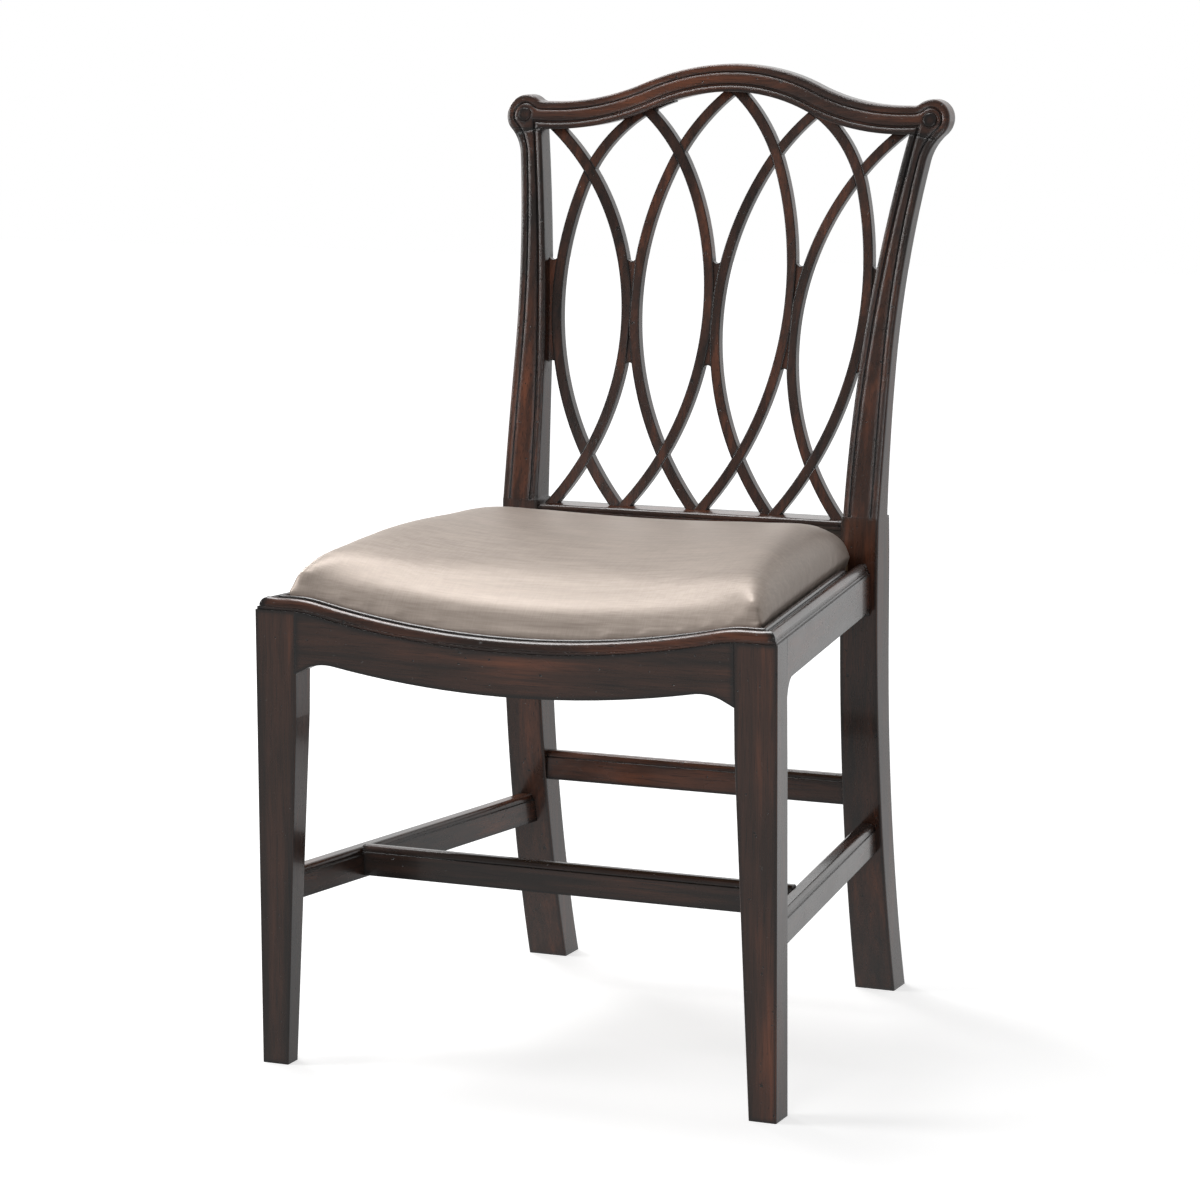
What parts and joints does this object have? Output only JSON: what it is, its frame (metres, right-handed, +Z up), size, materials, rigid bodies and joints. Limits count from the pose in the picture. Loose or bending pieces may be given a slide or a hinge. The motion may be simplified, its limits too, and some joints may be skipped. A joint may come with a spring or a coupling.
{
  "type": "trellis back side chair",
  "caption": "Side chair with an interlaced trellis back, serpentine moulded crest, tapered legs joined by stretchers and a lift-out saddle seat in satin.",
  "frame": {"origin": "floor level under the middle of the chair's bounding box", "axes": "+X to the right as seen from the front, +Y from the front to the back, +Z up"},
  "size_m": [0.53, 0.5741, 0.94],
  "materials": {
    "mahogany": "dark satin lacquer with rubbed edges",
    "block_wood": "bare sawn hardwood",
    "plywood": "bare plywood",
    "foam": "open-cell foam",
    "satin": "satin weave",
    "steel": "zinc plated"
  },
  "bodies": {
    "frame": {"back_post_left": "mahogany", "back_post_right": "mahogany", "back_seat_rail": "mahogany", "corner_block_screws": "steel", "crest_peg_left": "mahogany", "crest_peg_right": "mahogany", "crest_rail": "mahogany", "cross_stretcher": "mahogany", "front_corner_block_left": "block_wood", "front_corner_block_right": "block_wood", "front_leg_left": "mahogany", "front_leg_right": "mahogany", "front_seat_rail": "mahogany", "lower_back_rail": "mahogany", "rear_corner_block_left": "block_wood", "rear_corner_block_right": "block_wood", "rear_stretcher": "mahogany", "seat_moulding_front": "mahogany", "seat_moulding_left": "mahogany", "seat_moulding_right": "mahogany", "side_seat_rail_left": "mahogany", "side_seat_rail_right": "mahogany", "side_stretcher_left": "mahogany", "side_stretcher_right": "mahogany", "trellis_bar_1_left": "mahogany", "trellis_bar_1_right": "mahogany", "trellis_bar_2_left": "mahogany", "trellis_bar_2_right": "mahogany", "trellis_bar_3_left": "mahogany", "trellis_bar_3_right": "mahogany", "trellis_bar_4_left": "mahogany", "trellis_bar_4_right": "mahogany", "trellis_web_1": "mahogany", "trellis_web_2": "mahogany", "trellis_web_3": "mahogany", "trellis_web_4": "mahogany", "trellis_web_5": "mahogany"},
    "slip_seat": {"seat_panel": "plywood", "seat_foam": "foam", "seat_cover": "satin"}
  },
  "joints": [
    {"name": "seat_lift", "type": "slide", "parent": "frame", "child": "slip_seat", "axis": [0, 0, 1], "range_m": [0, 0.12]}
  ]
}
